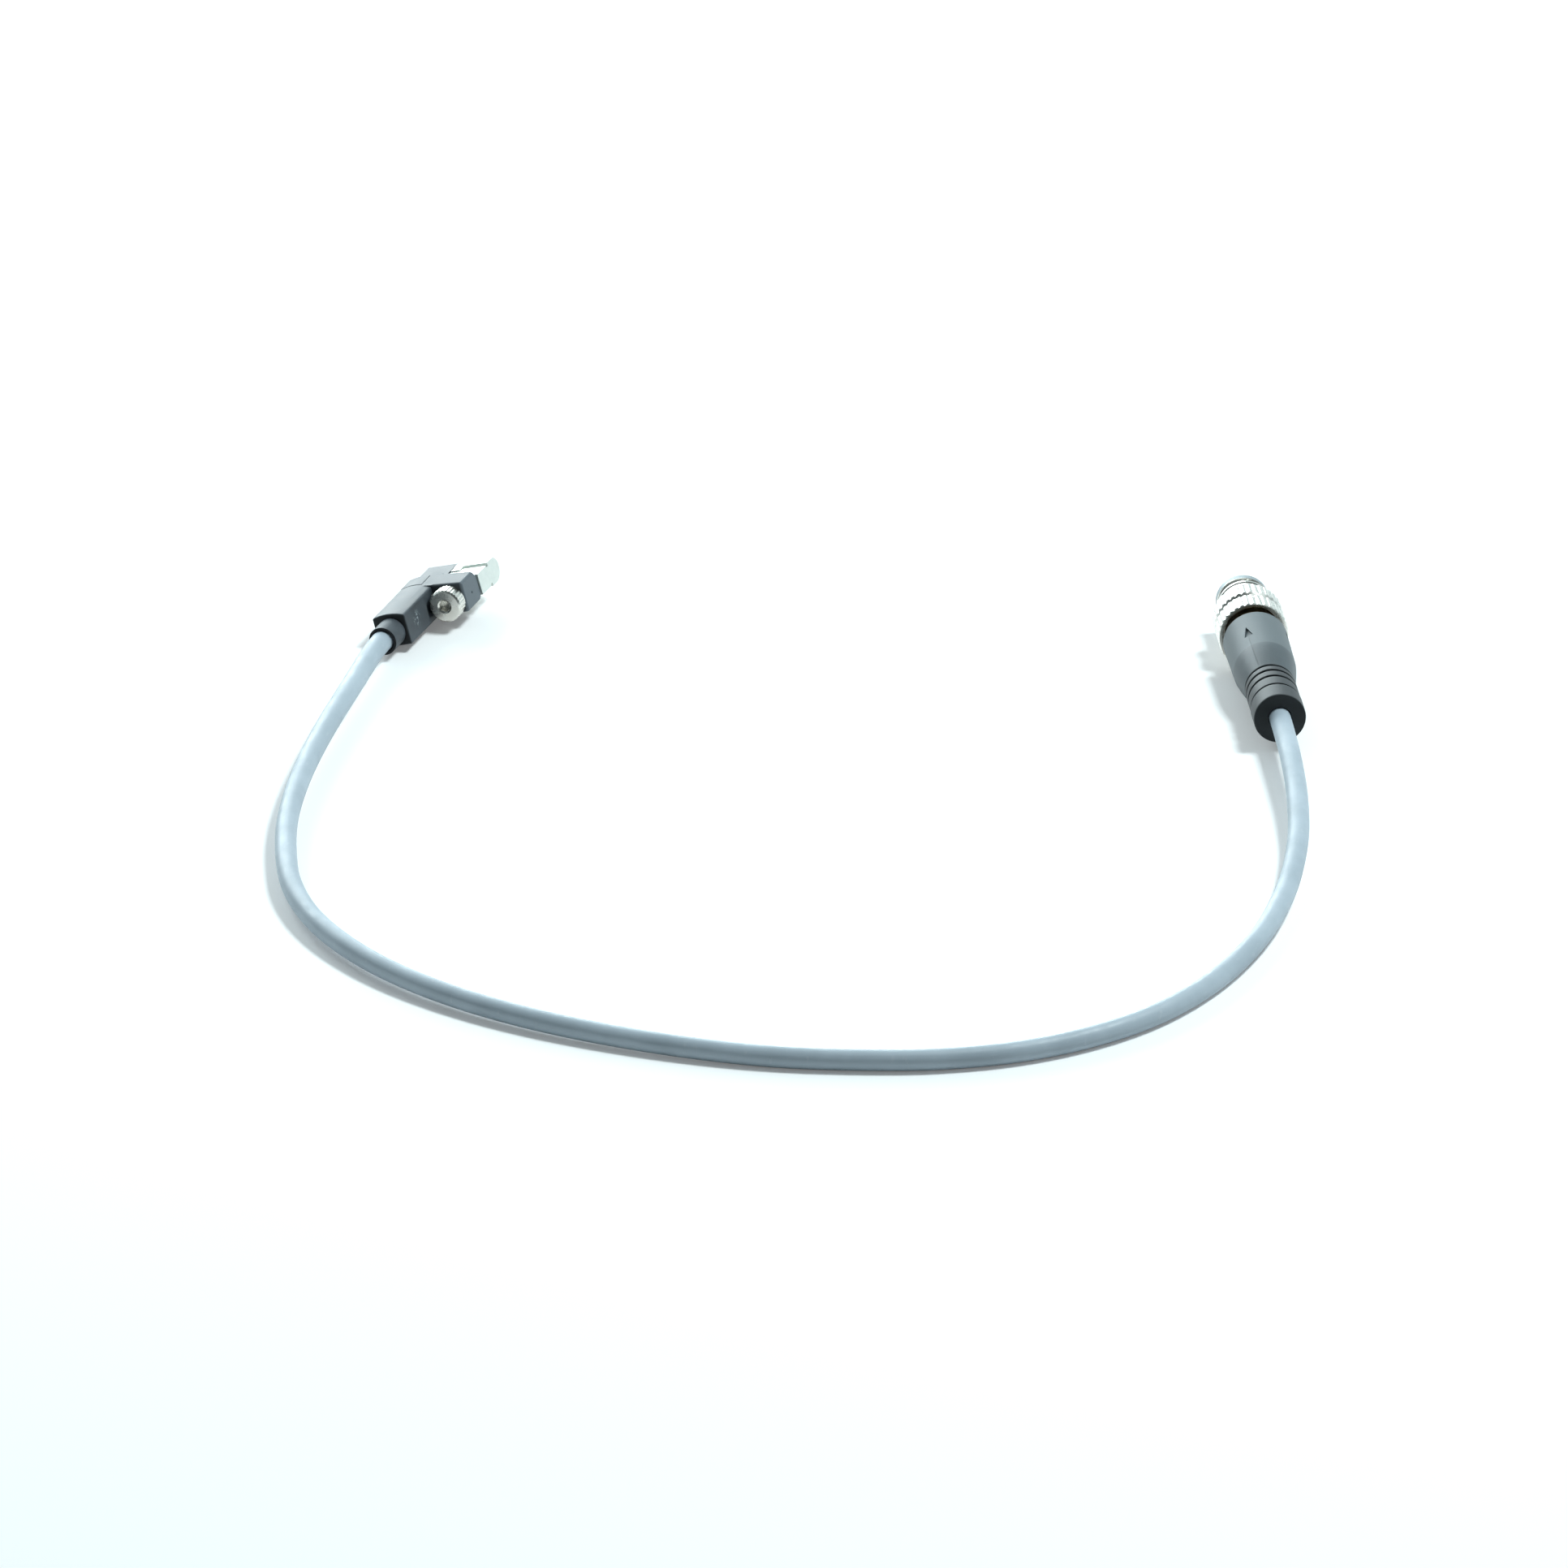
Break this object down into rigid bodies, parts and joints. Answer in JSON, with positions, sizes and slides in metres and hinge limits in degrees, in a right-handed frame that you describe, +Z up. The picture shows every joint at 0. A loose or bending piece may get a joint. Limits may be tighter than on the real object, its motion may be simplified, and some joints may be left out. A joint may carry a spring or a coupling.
{
  "type": "magnetoresistive proximity switch",
  "caption": "Slot-mounted magnetoresistive cylinder switch with knurled clamp screw, metal clamp bar, short grey cable and moulded M8 plug.",
  "frame": {"origin": "on the table below the middle of the sensing head (the head's box without the cable and plug)", "axes": "+Y along the head from its cable end to its slot tongue, +Z up from the table, +X to the right, towards the clamp screw"},
  "size_m": [0.1627, 0.1812, 0.0105],
  "materials": {
    "black_polyamide": "fine moulded texture",
    "dark_grey_polyurethane": "matte moulded",
    "grey_polyurethane_jacket": "matte extruded",
    "stainless_steel": "satin",
    "nickel_plate": "bright nickel plate",
    "turned_brass": "turned",
    "gold_plate": "gold plate",
    "black_carrier_plastic": "moulded",
    "glass_epoxy": "solder mask",
    "chip_epoxy": "matte",
    "led_lens": "clear amber",
    "capacitor_ceramic": "fired",
    "brown_insulation": "extruded",
    "black_insulation": "extruded",
    "blue_insulation": "extruded"
  },
  "bodies": {
    "switch": {"main_housing": "black_polyamide", "sensor_cap": "black_polyamide", "cable_boot": "dark_grey_polyurethane", "circuit_board": "glass_epoxy", "bridge_chip": "chip_epoxy", "switching_chip": "chip_epoxy", "filter_capacitor": "capacitor_ceramic", "status_led": "led_lens", "lead_brown": "brown_insulation", "lead_black": "black_insulation", "lead_blue": "blue_insulation", "cable_jacket": "grey_polyurethane_jacket", "plug_body": "dark_grey_polyurethane", "support_sleeve": "turned_brass", "contact_carrier": "black_carrier_plastic", "contact_pin_1": "gold_plate", "contact_pin_3": "gold_plate", "contact_pin_4": "gold_plate", "plug_lead_brown": "brown_insulation", "plug_lead_blue": "blue_insulation", "plug_lead_black": "black_insulation"},
    "screw": {"clamp_screw": "nickel_plate"},
    "bar": {"clamp_bar": "stainless_steel"},
    "nut": {"coupling_nut": "nickel_plate"}
  },
  "joints": [
    {"name": "clamp_screw_turn", "type": "hinge", "parent": "switch", "child": "screw", "pos_m": [0.00245, 0.00085, 0.00408], "axis": [0, -1, 0], "range_deg": [0, 720]},
    {"name": "clamp_bar_slide", "type": "slide", "parent": "switch", "child": "bar", "axis": [0, 1, 0], "range_m": [0, 0.0008]},
    {"name": "coupling_nut_spin", "type": "hinge", "parent": "switch", "child": "nut", "pos_m": [0.11904, 0.02696, 0.00525], "axis": [-0.4555, 0.8902, 0], "continuous": true}
  ],
  "couplings": [
    {"joint": "clamp_screw_turn", "follows": "clamp_bar_slide", "rad_per_m": 15708}
  ]
}
